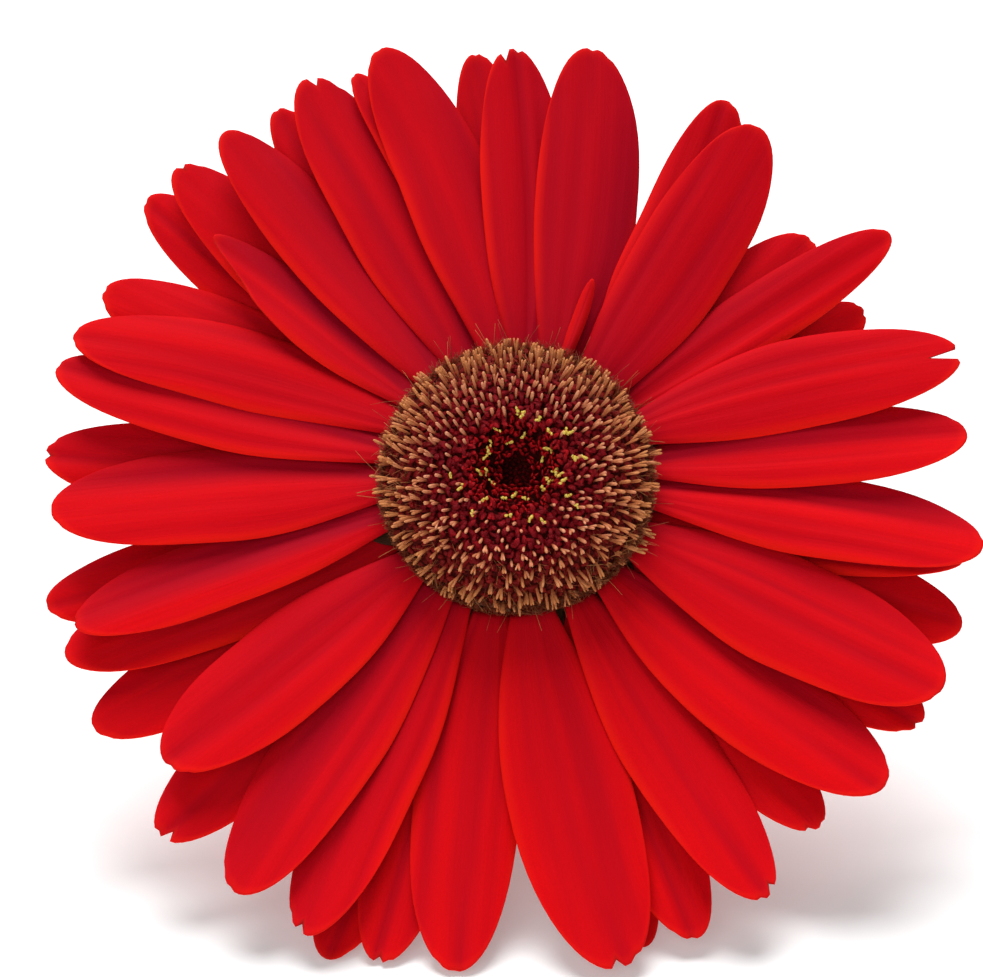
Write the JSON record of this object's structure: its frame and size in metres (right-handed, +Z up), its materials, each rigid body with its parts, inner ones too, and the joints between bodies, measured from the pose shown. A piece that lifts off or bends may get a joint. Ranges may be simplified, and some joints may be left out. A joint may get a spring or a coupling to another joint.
{
  "type": "cut gerbera",
  "caption": "Cut gerbera flower lying on a table, with crowded red ray florets, a tan and maroon disc, green bracts and a long bare stem.",
  "frame": {"origin": "centre of the base of the whole flower's bounding box, on the surface it lies on", "axes": "+Z up; +Y along the lying stem towards its cut end; the flower faces -Y and up"},
  "size_m": [0.1156, 0.2814, 0.0885],
  "materials": {
    "ray": "velvety red petal skin with fine lengthwise lines",
    "floret": "matt tan anther tubes over maroon corollas",
    "floret_dark": "dark maroon corollas and buds",
    "pappus": "fine dull straw-brown bristles",
    "bract": "matt green with pale edges and fine hair",
    "stem": "matt green with fine pale hair, pale at the cut"
  },
  "bodies": {
    "root": {"ray_01": "ray", "ray_02": "ray", "ray_03": "ray", "ray_04": "ray", "ray_05": "ray", "ray_06": "ray", "ray_07": "ray", "ray_08": "ray", "ray_09": "ray", "ray_10": "ray", "ray_11": "ray", "ray_12": "ray", "ray_13": "ray", "ray_14": "ray", "ray_15": "ray", "ray_16": "ray", "ray_17": "ray", "ray_18": "ray", "ray_19": "ray", "ray_20": "ray", "ray_21": "ray", "ray_22": "ray", "ray_23": "ray", "ray_24": "ray", "ray_25": "ray", "ray_26": "ray", "ray_27": "ray", "ray_28": "ray", "ray_29": "ray", "ray_30": "ray", "ray_31": "ray", "ray_32": "ray", "ray_33": "ray", "ray_34": "ray", "ray_35": "ray", "ray_36": "ray", "ray_37": "ray", "ray_38": "ray", "ray_39": "ray", "ray_40": "ray", "ray_41": "ray", "ray_42": "ray", "ray_43": "ray", "ray_44": "ray", "ray_45": "ray", "ray_late": "ray", "receptacle": "bract", "bracts_inner": "bract", "bracts_middle": "bract", "bracts_outer": "bract", "disc_outer": "floret", "disc_middle": "floret_dark", "disc_buds": "floret_dark", "pappus": "pappus", "scape": "stem"}
  },
  "joints": []
}
